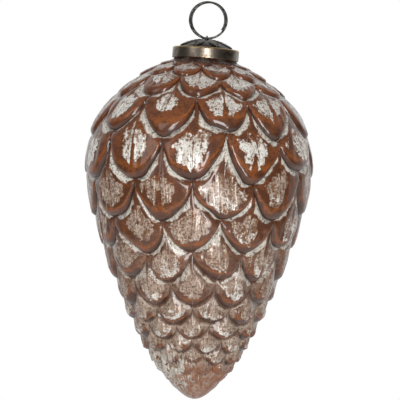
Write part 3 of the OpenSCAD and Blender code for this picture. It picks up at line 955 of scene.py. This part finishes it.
def makeCap(shape, material):
    section, crownFrom = capSection(shape)
    last = len(section) - 1
    columns = shape["columns"]
    bandFrom = shape["crownRadius"] - ornament["sheet"] + 0.2 * mm
    angle = np.arange(columns) * 2 * math.pi / columns
    points = []
    worn = []
    veins = []
    for number, (radius, height, wear) in enumerate(section):
        radii = np.full(columns, radius)
        heights = np.full(columns, height)
        light = np.zeros(columns)
        if number >= crownFrom:
            rise, light = embossing(shape, radii, angle)
            tilt = radius / crownBall
            radii = radii + rise * tilt
            heights = heights + rise * math.sqrt(1 - tilt * tilt)
        elif radius > bandFrom:
            wave = np.sin(3 * angle + 0.7) + 0.6 * np.sin(5 * angle + 2.1)
            fade = max(0, 1 - (height - shape["bandLow"]) / ornament["ledgeHeight"])
            radii = radii + shape["waviness"] * wave * fade
        if number in (0, last):
            radii, heights, light = radii[:1], heights[:1], light[:1]
        turned = angle[:len(radii)]
        points.append(np.stack([radii * np.sin(turned), -radii * np.cos(turned), heights], 1))
        worn.append(np.full(len(radii), wear))
        veins.append(light)
    starts = np.concatenate([[0], np.cumsum([len(p) for p in points])])
    faces = []
    for k in range(last):
        for j in range(columns):
            after = (j + 1) % columns
            if k == 0:
                faces.append((0, starts[1] + after, starts[1] + j))
            elif k == last - 1:
                faces.append((starts[k] + j, starts[k] + after, starts[last]))
            else:
                faces.append((starts[k] + j, starts[k] + after, starts[k + 1] + after, starts[k + 1] + j))
    mesh = bpy.data.meshes.new("pressedCap")
    mesh.from_pydata(np.concatenate(points).tolist(), [], [tuple(map(int, f)) for f in faces])
    mesh.transform(neckPlace)
    for name, values in (("wear", worn), ("vein", veins)):
        attribute = mesh.attributes.new(name, "FLOAT", "POINT")
        attribute.data.foreach_set("value", np.concatenate(values).astype(np.float32))
    mesh.polygons.foreach_set("use_smooth", [True] * len(mesh.polygons))
    mesh.materials.append(material)
    piece = linkObject("pressedCap", mesh)
    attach(piece, "ornament")
    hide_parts("cap")
    return piece


def attributeValue(b, name):
    return b.add("ShaderNodeAttribute", attribute_name=name).outputs["Fac"]


# The crown above the ledge is darker than the band
def capFinish(b, here):
    ledge = ornament["ledgeHeight"]
    lean = ornament["neckLean"]
    foot = neckFoot - hookPoint
    place = b.split(here)
    up = b.plus(b.times(b.minus(place[0], foot.x), math.sin(lean)),
                b.times(b.minus(place[2], foot.z), math.cos(lean)))
    crown = b.step(up, ledge - 0.05 * mm, ledge + 0.12 * mm)
    return {"Base": b.blend(crown, metal["brass"], metal["crownDark"]),
            "Worn": b.blend(crown, metal["brassWornAndEdgeHighlight"], metal["crownWorn"]), "Dirt": metal["brassDirt"],
            "Wear": b.most(b.times(attributeValue(b, "wear"), 0.9), b.times(attributeValue(b, "vein"), 0.75))}


capPiece = makeCap(cap, metalMaterial("agedBrass", capFinish, capTarnish))
print("cap:", len(capPiece.data.polygons), "faces")

# Hanger wire and split ring
wires = {
    "eyeWire": 0.6 * mm,
    "eyeClearance": 0.05 * mm,
    "bendRadius": 0.5 * mm,
    "clinchLength": 4 * mm,
    "clinchGap": 0.1 * mm,
    "ringStart": math.radians(-30),
    "ringSweep": math.radians(639),
    "ringPoints": 260,
    "turnGap": 0.05 * mm,
    "ringOffset": 1.1 * mm,
    "sides": 20,
}


def ringPath(shape):
    middle = ornament["ringMiddle"]
    sweep = shape["ringSweep"]
    eyePart = (math.radians(270) - shape["ringStart"]) / sweep
    pitch = ornament["ringWire"] + shape["turnGap"]
    points = []
    for part in np.linspace(0, 1, shape["ringPoints"]):
        turn = shape["ringStart"] + part * sweep
        fromEye = part - eyePart
        points.append(Vector((middle * math.cos(turn) + fromEye * shape["ringOffset"],
                              fromEye * sweep / fullTurn * pitch, middle * math.sin(turn) + ringHeight)))
    return points


def hangerPath(shape):
    thick = shape["eyeWire"] / 2
    bend = shape["bendRadius"]
    clinch = shape["clinchLength"]
    eye = ornament["ringWire"] / 2 + shape["eyeClearance"] + thick
    near = eye + bend
    far = near + clinch
    slope = math.atan2(underCrown(near) - underCrown(far), clinch)
    sink = (shape["clinchGap"] + thick) / math.cos(math.asin(far / crownBall))
    endRadius = near - bend * math.sin(slope)
    endHeight = underCrown(near) - sink + bend * math.sin(slope) * math.tan(slope)
    bendHeight = endHeight + bend * math.cos(slope)
    half = [(endRadius + s * clinch * math.cos(slope), endHeight - s * clinch * math.sin(slope))
            for s in (1, 0.6, 0.2)]
    half += [(near + bend * math.cos(a), bendHeight + bend * math.sin(a))
             for a in np.linspace(-math.pi / 2 - slope, -math.pi, 8)]
    half += [(eye, bendHeight + s * (pivotHeight - bendHeight)) for s in (0.35, 0.7)]
    arch = [(eye * math.cos(a), pivotHeight + eye * math.sin(a)) for a in np.linspace(0, math.pi, 19)]
    whole = half + arch + [(-y, z) for y, z in reversed(half)]
    return [Vector((0, y, z)) for y, z in whole]


# A round wire along any path, with cut ends; alongWire is the distance from its first end
def wireTree():
    b, given, ends = openTree(
        "wireAlongPath", "GeometryNodeTree",
        [("Path", "Geometry", None), ("Radius", "Float", 0.4 * mm), ("Sides", "Int", 20),
         ("Finish", "Material", None)], [("Wire", "Geometry")])
    b.tree.is_modifier = True
    length = b.add("GeometryNodeSplineParameter").outputs["Length"]
    marked = b.add("GeometryNodeStoreNamedAttribute",
                   {"Geometry": given["Path"], "Name": "alongWire", "Value": length},
                   data_type="FLOAT", domain="POINT")
    circle = b.add("GeometryNodeCurvePrimitiveCircle",
                   {"Resolution": given["Sides"], "Radius": given["Radius"]})
    tube = b.add("GeometryNodeCurveToMesh", {"Curve": marked.outputs[0], "Profile Curve": circle.outputs[0],
                                             "Fill Caps": True})
    smooth = b.add("GeometryNodeSetShadeSmooth", {0: tube.outputs[0]})
    sharp = b.beyond(b.add("GeometryNodeInputMeshEdgeAngle").outputs[0], 0.9)
    cut = b.add("GeometryNodeSetShadeSmooth",
                {0: smooth.outputs[0], "Selection": sharp, "Shade Smooth": False}, domain="EDGE")
    return dress(b, ends, cut.outputs[0], given["Finish"])


def makeWire(name, path, radius, sides, tree, material):
    curve = bpy.data.curves.new(name + "Path", "CURVE")
    curve.dimensions = "3D"
    spline = curve.splines.new("POLY")
    spline.points.add(len(path) - 1)
    for point, place in zip(spline.points, path):
        point.co = (*(neckPlace @ place), 1)
    return growMesh(name, linkObject(name + "Path", curve), tree,
                    {"Radius": radius, "Sides": sides, "Finish": material})


# Scratches run across the wire
def wireFinish(b, here):
    scratch = b.noise(b.vector(b.times(attributeValue(b, "alongWire"), 900.0)), 1.0, 4.0, 0.6, 2.0)
    return {"Base": metal["wire"], "Worn": metal["wireWorn"], "Dirt": metal["wireDirt"],
            "Wear": b.step(scratch, 0.5, 0.75, (0, 0.8))}


darkWire = metalMaterial("darkWire", wireFinish, wireTarnish)
wireGrower = wireTree()
ring = makeWire("splitRing", ringPath(wires), ornament["ringWire"] / 2, wires["sides"], wireGrower, darkWire)
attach(ring, "ring")
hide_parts("split_ring")
hanger = makeWire("hangerWire", hangerPath(wires), wires["eyeWire"] / 2, wires["sides"], wireGrower, darkWire)
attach(hanger, "ornament")
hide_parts("hanger_wire")
print("ring and hanger wire:", len(ring.data.polygons), len(hanger.data.polygons), "faces")
